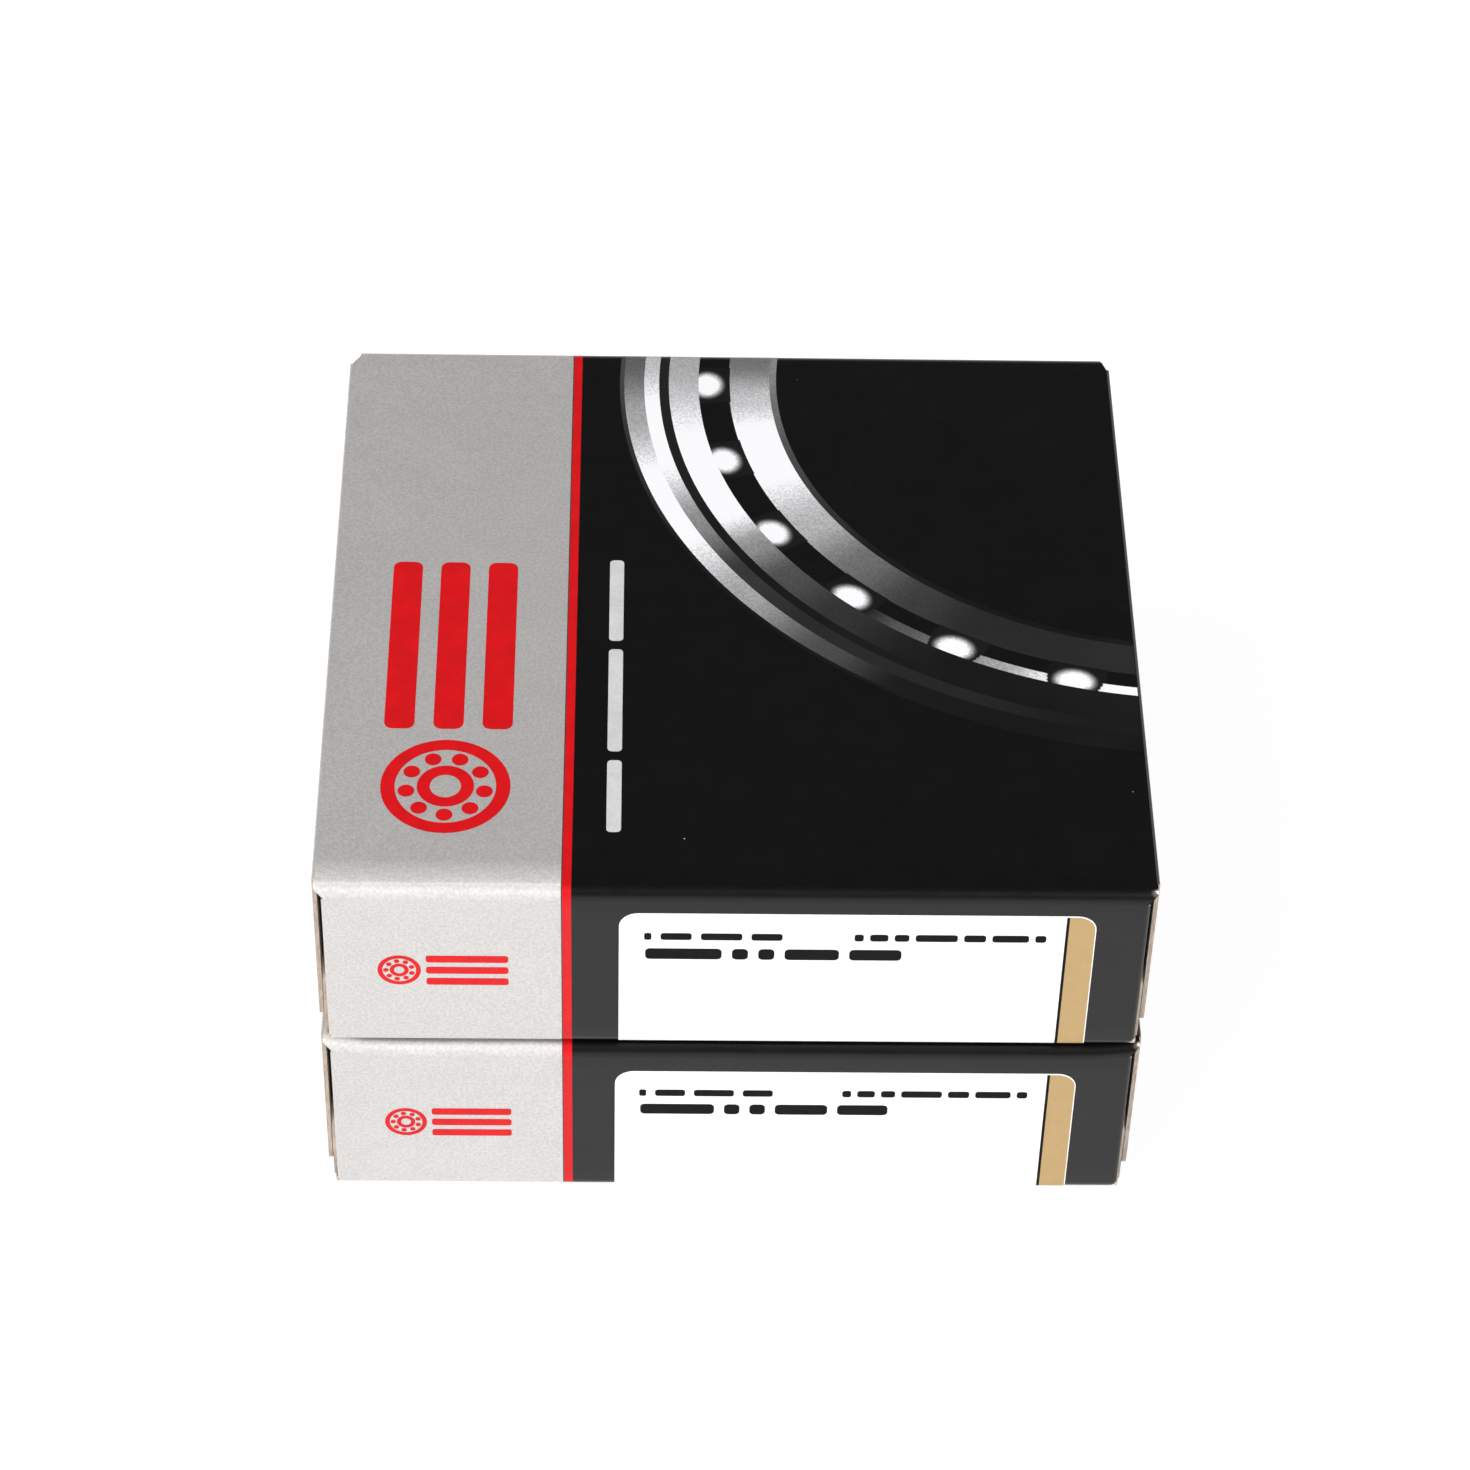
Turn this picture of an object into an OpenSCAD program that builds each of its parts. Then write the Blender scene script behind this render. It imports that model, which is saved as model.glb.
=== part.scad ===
// Boxed duplex set: two folding cartons, one on the other. Each holds one angular contact ball bearing.
// X runs between a carton's two ends, Y from its front panel (-Y) to its rear panel, Z is up.
// The origin is the middle of the footprint, on the surface that the lower carton stands on.

/* [Carton] */
// Width of the front panel, between the end folds
carton_w = 72; // [71:0.5:80]
// Depth from the front panel to the rear panel
carton_d = 72; // [70.5:0.5:80]
// Height of one carton
carton_h = 20; // [19:0.2:26]
// Thickness of the paperboard
board_t = 0.38; // [0.3:0.01:0.42]
// Outside radius of the four long folds
fold_r = 1.2; // [0.6:0.1:1.5]
// Free gap between the two stacked cartons
stack_gap = 0.1; // [0.05:0.05:1]
// Height of the glue tab inside the rear panel
glue_tab_h = 12; // [8:1:15]

/* [End flaps] */
// Length of the outer flap, from the top fold
outer_flap_drop = 18; // [12:0.5:18.5]
// Length of the inner flap, from the bottom fold
inner_flap_rise = 8.8; // [5:0.1:9]
// Length of a dust flap, from its vertical fold
dust_flap_reach = 7.4; // [4:0.1:7.5]
// Corner radius of the outer flap
outer_flap_corner = 1; // [0.5:0.5:6]
// Corner radius of the inner flap
inner_flap_corner = 2.5; // [1:0.5:4]
// Free play between two flaps that lie on each other
flap_play = 0.05; // [0.03:0.01:0.1]

/* [Label] */
// Width of the adhesive label on the front panel
label_w = 41.7; // [30:0.1:44]
// Height of the label's top edge on the upper carton
upper_label_top = 17.4; // [12:0.1:18]
// Height of the label's top edge on the lower carton
lower_label_top = 16.5; // [12:0.1:18]
// Left edge of the label on the upper carton, from the middle of the carton
upper_label_left = -10.2; // [-14:0.1:-9]
// Left edge of the label on the lower carton, from the middle of the carton
lower_label_left = -10.5; // [-14:0.1:-9]
// Thickness of the label
label_t = 0.06; // [0.05:0.01:0.2]
// Radius of the label's two upper corners
label_corner = 1.7; // [0.5:0.1:3]

/* [Bearing] */
// Bore diameter
bore_d = 40; // [40:1:42]
// Outside diameter
outside_d = 68; // [67:1:69]
// Width
bearing_w = 15; // [14.5:0.5:16]
// Ball diameter
ball_d = 7.938; // [7.5:0.001:8]
// Number of balls
ball_count = 18; // [12:1:18]
// Diameter of the circle through the ball centres
pitch_d = 54; // [53.8:0.1:54.2]
// Contact angle, in degrees
contact_angle = 25; // [15:1:25]
// Free gap between a ball and each raceway at the contact
race_play = 0.05; // [0.03:0.01:0.08]
// Height of the bearing above the inside of the bottom panel
bearing_lift = 0.12; // [0.05:0.01:1]

/* [Hidden] */
$fn = 96;

// Base heights of the two cartons
lower_z = 0;
upper_z = carton_h + stack_gap;

// Distance of each crease's axis from the middle of the carton
dust_axis_x = carton_w / 2 - board_t / 2;
inner_axis_x = dust_axis_x + board_t + flap_play;
outer_axis_x = inner_axis_x + board_t + flap_play;
dust_axis_y = carton_d / 2 - board_t / 2;

// A panel stops this far short of the crease axis that its flap turns on
crease_clear = board_t / 2 + flap_play;
// Width of the inner and outer flaps
end_flap_w = carton_d - 2 * fold_r - 0.6;
// Free height between a dust flap's foot and the panels above and below it
dust_flap_inset = 1.2;
dust_flap_h = carton_h - 2 * dust_flap_inset;
// The label stops above the bottom fold
label_foot = fold_r;

// Ring proportions, as radii
bore_r = bore_d / 2;
outside_r = outside_d / 2;
pitch_r = pitch_d / 2;
ball_r = ball_d / 2;
ring_chamfer = 1;
land_chamfer = 0.4;
high_land = 0.29 * ball_d;
low_land = 0.465 * ball_d;
outer_high_land_r = pitch_r + high_land;
outer_low_land_r = pitch_r + low_land;
inner_high_land_r = pitch_r - 0.265 * ball_d;
inner_low_land_r = pitch_r - 0.39 * ball_d;
groove_r = 0.525 * ball_d;
groove_shift = groove_r - ball_r - race_play;
bearing_mid = bearing_w / 2;

// Cage proportions
cage_guide_play = 0.25;
cage_outer_r = outer_high_land_r - cage_guide_play;
cage_inner_r = pitch_r - 0.19 * ball_d;
cage_w = bearing_w - 3.2;
cage_chamfer = 0.35;
pocket_play = 0.15;
pocket_r = ball_r + pocket_play;

// Cross-section of a tube of board, with round folds
module fold_outline(w, h, r) {
    translate([0, h / 2]) {
        square([w - 2 * r, h], center = true);
        square([w, h - 2 * r], center = true);
        for (sx = [-1, 1], sy = [-1, 1])
            translate([sx * (w / 2 - r), sy * (h / 2 - r)]) circle(r);
    }
}

// Extrudes an outline drawn in Y and Z along X, centred
module along_x(length) {
    translate([-length / 2, 0, 0])
        rotate([90, 0, 90]) linear_extrude(length) children();
}

// Four walls of one carton, with the glue tab behind the rear panel and the longer top and bottom panels
module sleeve(base_z) {
    wall_end = 2 * (dust_axis_x - crease_clear);
    flat_w = carton_d - 2 * fold_r;
    color([0.70, 0.69, 0.68])
    translate([0, 0, base_z]) {
        along_x(wall_end)
            difference() {
                fold_outline(carton_d, carton_h, fold_r);
                translate([0, board_t])
                    fold_outline(carton_d - 2 * board_t, carton_h - 2 * board_t, fold_r - board_t);
            }
        // Bottom panel, out to the inner flaps
        along_x(2 * (inner_axis_x - crease_clear))
            translate([-flat_w / 2, 0]) square([flat_w, board_t]);
        // Top panel, out to the outer flaps
        along_x(2 * (outer_axis_x - crease_clear))
            translate([-flat_w / 2, carton_h - board_t]) square([flat_w, board_t]);
        // Glue tab
        along_x(wall_end - 3)
            translate([carton_d / 2 - 2 * board_t, board_t / 2])
                square([board_t * 1.5, glue_tab_h]);
    }
}

// Adhesive label on the front panel, with its two upper corners rounded
module label(base_z, left, top) {
    height = top - label_foot;
    color([0.96, 0.96, 0.95])
    translate([left, -carton_d / 2, base_z + label_foot])
        rotate([90, 0, 0]) linear_extrude(label_t) {
            square([label_w, height - label_corner]);
            translate([label_corner, 0]) square([label_w - 2 * label_corner, height]);
            for (x = [label_corner, label_w - label_corner])
                translate([x, height - label_corner]) circle(label_corner);
        }
}

// Flap outline from its crease at y = 0 to its free edge, with two rounded corners
module flap_outline(w, length, corner) {
    translate([-w / 2, 0]) square([w, length - corner]);
    translate([-w / 2 + corner, 0]) square([w - 2 * corner, length]);
    for (s = [-1, 1])
        translate([s * (w / 2 - corner), length - corner]) circle(corner);
}

// Flap that turns on a horizontal crease along Y: side is 1 at the right end and -1 at the left end,
// up is 1 where the flap stands up from its crease and -1 where it hangs down
module end_flap(w, length, corner, side, axis_x, axis_z, up) {
    translate([side * axis_x, 0, axis_z]) {
        rotate([90, 0, 0]) cylinder(d = board_t, h = w, center = true);
        rotate([up * 90, 0, 90]) translate([0, 0, -board_t / 2])
            linear_extrude(board_t) flap_outline(w, length, corner);
    }
}

module outer_flap(base_z, side) {
    color([0.63, 0.56, 0.49])
        end_flap(end_flap_w, outer_flap_drop, outer_flap_corner, side,
                 outer_axis_x, base_z + carton_h - board_t / 2, -1);
}

module inner_flap(base_z, side) {
    color([0.72, 0.65, 0.57])
        end_flap(end_flap_w, inner_flap_rise, inner_flap_corner, side,
                 inner_axis_x, base_z + board_t / 2, 1);
}

// Mitred flap on a vertical crease: depth is -1 at the front panel and 1 at the rear panel
module dust_flap(base_z, side, depth) {
    tip_h = dust_flap_h - 2 * dust_flap_reach;
    color([0.76, 0.70, 0.62])
    translate([side * dust_axis_x, depth * dust_axis_y, base_z + dust_flap_inset]) {
        cylinder(d = board_t, h = dust_flap_h);
        rotate([90, 0, 90]) translate([0, 0, -board_t / 2])
            linear_extrude(board_t)
                polygon([
                    [0, 0],
                    [-depth * dust_flap_reach, dust_flap_reach],
                    [-depth * dust_flap_reach, dust_flap_reach + tip_h],
                    [0, dust_flap_h]
                ]);
    }
}

// Places a bearing piece on the carton's floor
module in_carton(base_z) {
    translate([0, 0, base_z + board_t + bearing_lift]) children();
}

// Outer ring: the high land takes the thrust, the low land lets the balls in
module outer_ring(base_z) {
    groove_x = pitch_r - groove_shift * cos(contact_angle);
    groove_z = bearing_mid + groove_shift * sin(contact_angle);
    color([0.74, 0.75, 0.77])
    in_carton(base_z) rotate_extrude()
        difference() {
            polygon([
                [outer_high_land_r + land_chamfer, 0],
                [outside_r - ring_chamfer, 0],
                [outside_r, ring_chamfer],
                [outside_r, bearing_w - ring_chamfer],
                [outside_r - ring_chamfer, bearing_w],
                [outer_low_land_r + land_chamfer, bearing_w],
                [outer_low_land_r, bearing_w - land_chamfer],
                [outer_low_land_r, bearing_mid],
                [outer_high_land_r, bearing_mid],
                [outer_high_land_r, land_chamfer]
            ]);
            translate([groove_x, groove_z]) circle(groove_r);
        }
}

// Inner ring: its high land is on the other side, so the load runs through the balls at the contact angle
module inner_ring(base_z) {
    groove_x = pitch_r + groove_shift * cos(contact_angle);
    groove_z = bearing_mid - groove_shift * sin(contact_angle);
    color([0.77, 0.78, 0.79])
    in_carton(base_z) rotate_extrude()
        difference() {
            polygon([
                [bore_r + ring_chamfer, 0],
                [inner_low_land_r - land_chamfer, 0],
                [inner_low_land_r, land_chamfer],
                [inner_low_land_r, bearing_mid],
                [inner_high_land_r, bearing_mid],
                [inner_high_land_r, bearing_w - land_chamfer],
                [inner_high_land_r - land_chamfer, bearing_w],
                [bore_r + ring_chamfer, bearing_w],
                [bore_r, bearing_w - ring_chamfer],
                [bore_r, ring_chamfer]
            ]);
            translate([groove_x, groove_z]) circle(groove_r);
        }
}

// One-piece cage, guided by the outer ring's high land, with a round pocket for each ball
module cage(base_z) {
    low = bearing_mid - cage_w / 2;
    high = bearing_mid + cage_w / 2;
    color([0.52, 0.35, 0.19])
    in_carton(base_z) difference() {
        rotate_extrude() polygon([
            [cage_inner_r + cage_chamfer, low],
            [cage_outer_r - cage_chamfer, low],
            [cage_outer_r, low + cage_chamfer],
            [cage_outer_r, high - cage_chamfer],
            [cage_outer_r - cage_chamfer, high],
            [cage_inner_r + cage_chamfer, high],
            [cage_inner_r, high - cage_chamfer],
            [cage_inner_r, low + cage_chamfer]
        ]);
        for (i = [0 : ball_count - 1])
            rotate([0, 0, i * 360 / ball_count]) translate([bore_r, 0, bearing_mid])
                rotate([0, 90, 0]) cylinder(r = pocket_r, h = outside_r - bore_r);
    }
}

module balls(base_z) {
    color([0.86, 0.87, 0.88])
    in_carton(base_z)
        for (i = [0 : ball_count - 1])
            rotate([0, 0, i * 360 / ball_count])
                translate([pitch_r, 0, bearing_mid]) sphere(d = ball_d);
}

sleeve(lower_z);  // lower_sleeve
label(lower_z, lower_label_left, lower_label_top);  // lower_label
outer_flap(lower_z, 1);  // lower_right_outer_flap
inner_flap(lower_z, 1);  // lower_right_inner_flap
dust_flap(lower_z, 1, -1);  // lower_right_front_dust_flap
dust_flap(lower_z, 1, 1);  // lower_right_rear_dust_flap
outer_flap(lower_z, -1);  // lower_left_outer_flap
inner_flap(lower_z, -1);  // lower_left_inner_flap
dust_flap(lower_z, -1, -1);  // lower_left_front_dust_flap
dust_flap(lower_z, -1, 1);  // lower_left_rear_dust_flap
outer_ring(lower_z);  // lower_outer_ring
inner_ring(lower_z);  // lower_inner_ring
cage(lower_z);  // lower_cage
balls(lower_z);  // lower_balls

sleeve(upper_z);  // upper_sleeve
label(upper_z, upper_label_left, upper_label_top);  // upper_label
outer_flap(upper_z, 1);  // upper_right_outer_flap
inner_flap(upper_z, 1);  // upper_right_inner_flap
dust_flap(upper_z, 1, -1);  // upper_right_front_dust_flap
dust_flap(upper_z, 1, 1);  // upper_right_rear_dust_flap
outer_flap(upper_z, -1);  // upper_left_outer_flap
inner_flap(upper_z, -1);  // upper_left_inner_flap
dust_flap(upper_z, -1, -1);  // upper_left_front_dust_flap
dust_flap(upper_z, -1, 1);  // upper_left_rear_dust_flap
outer_ring(upper_z);  // upper_outer_ring
inner_ring(upper_z);  // upper_inner_ring
cage(upper_z);  // upper_cage
balls(upper_z);  // upper_balls
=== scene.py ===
"""Looks of a boxed duplex set: two printed cartons, stacked, each with an angular contact bearing in it."""

import math
from types import SimpleNamespace

import bmesh
import bpy
from mathutils import Matrix, Vector, noise


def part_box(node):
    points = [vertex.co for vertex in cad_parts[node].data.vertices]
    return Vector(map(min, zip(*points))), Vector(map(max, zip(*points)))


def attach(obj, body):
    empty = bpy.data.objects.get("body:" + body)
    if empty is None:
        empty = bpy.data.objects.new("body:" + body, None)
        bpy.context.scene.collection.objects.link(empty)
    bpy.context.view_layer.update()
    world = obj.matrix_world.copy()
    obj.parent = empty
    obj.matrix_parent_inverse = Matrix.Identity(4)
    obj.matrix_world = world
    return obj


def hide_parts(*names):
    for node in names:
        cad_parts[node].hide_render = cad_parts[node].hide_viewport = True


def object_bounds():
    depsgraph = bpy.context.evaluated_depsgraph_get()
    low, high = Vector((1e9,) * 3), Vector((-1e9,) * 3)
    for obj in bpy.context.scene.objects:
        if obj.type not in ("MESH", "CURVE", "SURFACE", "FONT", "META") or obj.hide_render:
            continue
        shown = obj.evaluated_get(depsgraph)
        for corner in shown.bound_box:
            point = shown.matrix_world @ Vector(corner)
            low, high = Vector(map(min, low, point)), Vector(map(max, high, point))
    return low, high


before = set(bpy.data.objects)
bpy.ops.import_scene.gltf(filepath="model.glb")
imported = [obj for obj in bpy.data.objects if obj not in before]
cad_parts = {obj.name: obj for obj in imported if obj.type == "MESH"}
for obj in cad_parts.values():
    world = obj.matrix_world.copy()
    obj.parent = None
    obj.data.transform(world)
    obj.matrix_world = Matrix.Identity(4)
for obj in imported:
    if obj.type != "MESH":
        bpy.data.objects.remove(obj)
cad_low, cad_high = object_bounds()

# Lengths are in millimetres up to the point where a mesh is made
MM = 0.001
# The print lies this far inside the CAD surface, so that raised ink stays in the CAD box
SKIN = 0.02
FOLD_RADIUS = 1.2
FOLD_STEPS = 8
GLUE_TAB_HEIGHT = 12
# The gap under the rear panel's cut edge, the gap between that panel and the glue tab, and how much narrower
# the tab is at each end
REAR_EDGE_GAP = 0.12
TAB_GAP = 0.03
TAB_INSET = 1.5
# The top panel's rear corners are rounded off: how much narrower the board is at the rear fold at each end,
# how far the rounding runs on along the panel, and how much the end flaps' creases stop short for it
REAR_ROUNDING = {"left": 1.25, "right": 0.65}
REAR_ROUNDING_RUN = 1.27
REAR_CREASE_CUT = {"left": 0.85, "right": 0.60}
# The shares of a fold's turn within which the board goes from one panel's width to the next one's
FOLD_NARROWING = (0.15, 0.85)
TOP_FRONT_NARROWING = (0.35, 1.0)
# How far the middle of a panel sinks, the waviness on top of that, and how many waves it has in a millimetre
PANEL_SAG = {"top": 0.10, "front": 0.05, "rear": 0.05}
PANEL_WAVE = 0.05
WAVE_RATE = 0.07
# How far each carton's top front fold is pressed down by what stands on it, and the distances over which it
# fades out: towards the rear, down the front, and towards the ends
PRESSED_FOLD = {"lower": 0.5, "upper": 0.0}
PRESS_REAR = (6.5, 1.5)
PRESS_DOWN = 3.0
PRESS_END = 5.0


def box_mm(node):
    """Lowest and highest corner of a CAD node, in millimetres."""
    low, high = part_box(node)
    return low / MM, high / MM


def carton_facts(name):
    """Places of one carton's panels and creases, read from its CAD nodes."""
    low, high = box_mm(f"{name}_sleeve")
    creases = {}
    for kind in ("outer", "inner", "front_dust"):
        flap_low, flap_high = box_mm(f"{name}_right_{kind}_flap")
        creases[kind] = (flap_low.x + flap_high.x) / 2
    flap_low, flap_high = box_mm(f"{name}_right_outer_flap")
    return SimpleNamespace(
        name=name,
        body=f"{name}_carton",
        base=low.z,
        top=high.z,
        height=high.z - low.z,
        half_depth=high.y,
        board=flap_high.x - flap_low.x,
        top_end=creases["outer"],
        floor_end=creases["inner"],
        wall_end=creases["front_dust"],
    )


# -------------------- camera, light and floor

# The camera turns about the middle of the object, then stands off along its own axes
CAMERA_YAW = -2.234
CAMERA_TILT = 44.871
CAMERA_ROLL = 2.071
CAMERA_OFFSET = Vector((3.513, 2.504, 441.958)) * MM
CAMERA_LENS = 113.88
CAMERA_SENSOR = 36
CAMERA_CLIP = (0.01, 20)
CAMERA_SHIFT = (-0.0212, -0.0012)
# The tent's brightness low down and overhead, and the heights between which it fades
TENT_LOW, TENT_HIGH = 0.92, 0.09
TENT_FADE = (0.10, 0.42)
# Two softboxes stand in front of the object, one at each side, and look a little down on it
SOFTBOX_SIDE, SOFTBOX_FRONT, SOFTBOX_UP = 1.06, -0.66, 0.92
SOFTBOX_DISTANCE, SOFTBOX_SIZE = 1.0, 0.8
SOFTBOX_POWER = {"left": 10.0, "right": 9.2}
FLOOR_HALF = 3.0
FLOOR_GAP = 0.01
FLOOR_GREY = 0.30
FLOOR_GLOW = 0.80


def make_camera():
    """The photo's camera."""
    data = bpy.data.cameras.new("camera")
    data.lens = CAMERA_LENS
    data.sensor_width = CAMERA_SENSOR
    data.shift_x, data.shift_y = CAMERA_SHIFT
    data.clip_start, data.clip_end = CAMERA_CLIP
    camera = bpy.data.objects.new("camera", data)
    bpy.context.scene.collection.objects.link(camera)
    middle = (cad_low + cad_high) / 2
    turn = (
        Matrix.Rotation(math.radians(CAMERA_YAW), 4, "Z")
        @ Matrix.Rotation(math.radians(CAMERA_TILT), 4, "X")
        @ Matrix.Rotation(math.radians(CAMERA_ROLL), 4, "Z")
    )
    camera.matrix_world = Matrix.Translation((0, 0, middle.z)) @ turn @ Matrix.Translation(CAMERA_OFFSET)
    bpy.context.scene.camera = camera


def make_world():
    """A white tent, bright along the horizon and dim overhead."""
    world = bpy.data.worlds.new("tent")
    bpy.context.scene.world = world
    world.use_nodes = True
    nodes, links = world.node_tree.nodes, world.node_tree.links
    place = nodes.new("ShaderNodeTexCoord")
    split = nodes.new("ShaderNodeSeparateXYZ")
    links.new(place.outputs["Generated"], split.inputs[0])

    ramp = nodes.new("ShaderNodeMapRange")
    ramp.interpolation_type = "SMOOTHSTEP"
    ramp.inputs["From Min"].default_value = TENT_FADE[0]
    ramp.inputs["From Max"].default_value = TENT_FADE[1]
    ramp.inputs["To Min"].default_value = TENT_LOW
    ramp.inputs["To Max"].default_value = TENT_HIGH
    links.new(split.outputs["Z"], ramp.inputs["Value"])
    links.new(ramp.outputs[0], nodes["Background"].inputs["Strength"])
    nodes["Background"].inputs["Color"].default_value = (1, 1, 1, 1)


def make_softbox(name, side):
    """A square area light that looks at the object and isn't seen by the camera."""
    direction = Vector((side * SOFTBOX_SIDE, SOFTBOX_FRONT, SOFTBOX_UP))
    data = bpy.data.lights.new(name, "AREA")
    data.shape = "SQUARE"
    data.size = SOFTBOX_SIZE
    data.energy = SOFTBOX_POWER[name]
    light = bpy.data.objects.new(name, data)
    bpy.context.scene.collection.objects.link(light)
    middle = (cad_low + cad_high) / 2
    light.location = middle + direction.normalized() * SOFTBOX_DISTANCE
    light.rotation_euler = direction.to_track_quat("Z", "Y").to_euler()
    light.visible_camera = False


def make_floor():
    """A pale table top, lit a little from inside as an overexposed one looks."""
    mesh = bpy.data.meshes.new("studio_floor")
    corners = [(x * FLOOR_HALF, y * FLOOR_HALF, 0) for x, y in ((-1, -1), (1, -1), (1, 1), (-1, 1))]
    mesh.from_pydata(corners, [], [(0, 1, 2, 3)])
    floor = bpy.data.objects.new("studio_floor", mesh)
    bpy.context.scene.collection.objects.link(floor)
    floor.location.z = cad_low.z - FLOOR_GAP * MM
    shader = Shader("studio_floor")
    shader.set("Base Color", (FLOOR_GREY, FLOOR_GREY, FLOOR_GREY, 1))
    shader.set("Roughness", 0.9)
    shader.set("Specular IOR Level", 0.1)
    shader.set("Emission Color", (1, 1, 1, 1))
    shader.set("Emission Strength", FLOOR_GLOW)
    mesh.materials.append(shader.material)


# -------------------- materials


# How fast turned noise changes round the axis, as a share of how fast it changes across it
TURNED_DRIFT = 0.03


class Shader:
    """A Principled material with short calls for the nodes that feed it."""

    def __init__(self, name):
        self.material = bpy.data.materials.new(name)
        self.material.use_nodes = True
        self.nodes = self.material.node_tree.nodes
        self.links = self.material.node_tree.links
        self.surface = self.nodes["Principled BSDF"]
        self.place = None

    def set(self, socket, value):
        """Sets a socket of the surface, or links one to it."""
        if isinstance(value, bpy.types.NodeSocket):
            self.links.new(value, self.surface.inputs[socket])
        else:
            self.surface.inputs[socket].default_value = value

    def feed(self, socket, value):
        """Gives a node's socket a value, or links one to it."""
        if isinstance(value, bpy.types.NodeSocket):
            self.links.new(value, socket)
        else:
            socket.default_value = value

    def coordinates(self, stretch=(1, 1, 1)):
        """Object coordinates in millimetres, times a stretch for each axis."""
        if self.place is None:
            self.place = self.nodes.new("ShaderNodeTexCoord").outputs["Object"]
        mapping = self.nodes.new("ShaderNodeMapping")
        mapping.inputs["Scale"].default_value = [s / MM for s in stretch]
        self.links.new(self.place, mapping.inputs["Vector"])
        return mapping.outputs[0]

    def noise_at(self, place, size, detail, rough):
        """Noise whose grains are about size millimetres across, at the place that a socket gives."""
        node = self.nodes.new("ShaderNodeTexNoise")
        self.links.new(place, node.inputs["Vector"])
        node.inputs["Scale"].default_value = 1 / size
        node.inputs["Detail"].default_value = detail
        node.inputs["Roughness"].default_value = rough
        return node.outputs["Fac"]

    def noise(self, size, detail=2.0, stretch=(1, 1, 1), rough=0.5):
        """Noise fixed to the object."""
        return self.noise_at(self.coordinates(stretch), size, detail, rough)

    def turned(self, size, detail=2.0, rough=0.5):
        """Noise in rings about the object's upright axis, as turning and grinding leave it."""
        radius = self.nodes.new("ShaderNodeVectorMath")
        radius.operation = "LENGTH"
        self.links.new(self.coordinates((1, 1, 0)), radius.inputs[0])
        split = self.nodes.new("ShaderNodeSeparateXYZ")
        self.links.new(self.coordinates((TURNED_DRIFT, TURNED_DRIFT, 1)), split.inputs[0])
        join = self.nodes.new("ShaderNodeCombineXYZ")
        self.links.new(radius.outputs["Value"], join.inputs["X"])
        self.links.new(split.outputs["X"], join.inputs["Y"])
        self.links.new(split.outputs["Z"], join.inputs["Z"])
        return self.noise_at(join.outputs[0], size, detail, rough)

    def specks(self, spacing, radius, share):
        """Round specks, one in each cell of that spacing in millimetres, of which a share is kept."""
        node = self.nodes.new("ShaderNodeTexVoronoi")
        self.links.new(self.coordinates(), node.inputs["Vector"])
        node.inputs["Scale"].default_value = 1 / spacing
        dot = self.ramp(node.outputs["Distance"], radius / spacing, 0.5 * radius / spacing)
        split = self.nodes.new("ShaderNodeSeparateColor")
        self.links.new(node.outputs["Color"], split.inputs[0])
        kept = self.math("LESS_THAN", split.outputs[0], share)
        return self.math("MULTIPLY", dot, kept)

    def math(self, operation, a, b=0.0):
        """Result of a calculation with one or two values."""
        node = self.nodes.new("ShaderNodeMath")
        node.operation = operation
        self.feed(node.inputs[0], a)
        self.feed(node.inputs[1], b)
        return node.outputs[0]

    def ramp(self, value, from_low, from_high, to_low=0.0, to_high=1.0):
        """Smooth step from one range of values to another."""
        node = self.nodes.new("ShaderNodeMapRange")
        node.interpolation_type = "SMOOTHSTEP"
        self.feed(node.inputs["Value"], value)
        node.inputs["From Min"].default_value = from_low
        node.inputs["From Max"].default_value = from_high
        node.inputs["To Min"].default_value = to_low
        node.inputs["To Max"].default_value = to_high
        return node.outputs[0]

    def mix(self, share, first, second):
        """Colour between first and second."""
        node = self.nodes.new("ShaderNodeMix")
        node.data_type = "RGBA"
        self.feed(node.inputs["Factor"], share)
        for key, value in (("A", first), ("B", second)):
            socket = [s for s in node.inputs if s.name == key and s.type == "RGBA"][0]
            if not isinstance(value, bpy.types.NodeSocket):
                value = (*value, 1)
            self.feed(socket, value)
        return [s for s in node.outputs if s.type == "RGBA"][0]

    def attribute(self, name):
        """Value that the mesh keeps under that name at each of its points."""
        node = self.nodes.new("ShaderNodeAttribute")
        node.attribute_name = name
        return node.outputs["Fac"]

    def bump(self, *layers):
        """Bump from layers of (height socket, depth in millimetres)."""
        normal = None
        for height, depth in layers:
            node = self.nodes.new("ShaderNodeBump")
            node.inputs["Strength"].default_value = 1.0
            node.inputs["Distance"].default_value = depth * MM
            self.links.new(height, node.inputs["Height"])
            if normal is not None:
                self.links.new(normal, node.inputs["Normal"])
            normal = node.outputs[0]
        self.links.new(normal, self.surface.inputs["Normal"])


# Colours are linear
SILVER = (0.605, 0.585, 0.572)
BLACK = (0.0034, 0.0030, 0.0031)
RED = (0.62, 0.006, 0.009)
LINE = (0.10, 0.03, 0.03)
PAPER = (0.86, 0.82, 0.77)
RAW_BOARD = (0.46, 0.38, 0.30)
EDGE_BOARD = (0.51, 0.42, 0.35)
WHITE_INK = (0.60, 0.60, 0.60)
DRAWING_WHITE = (0.93, 0.93, 0.95)
LABEL_WHITE = (0.93, 0.93, 0.92)
LABEL_GOLD = (0.45, 0.30, 0.128)
LABEL_BLACK = (0.009, 0.0085, 0.009)
STEEL_DARK, STEEL_LIGHT = (0.50, 0.505, 0.52), (0.60, 0.605, 0.62)
BALL_DARK, BALL_LIGHT = (0.72, 0.73, 0.75), (0.80, 0.80, 0.81)
RESIN, COTTON = (0.20, 0.085, 0.028), (0.36, 0.19, 0.075)
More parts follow.
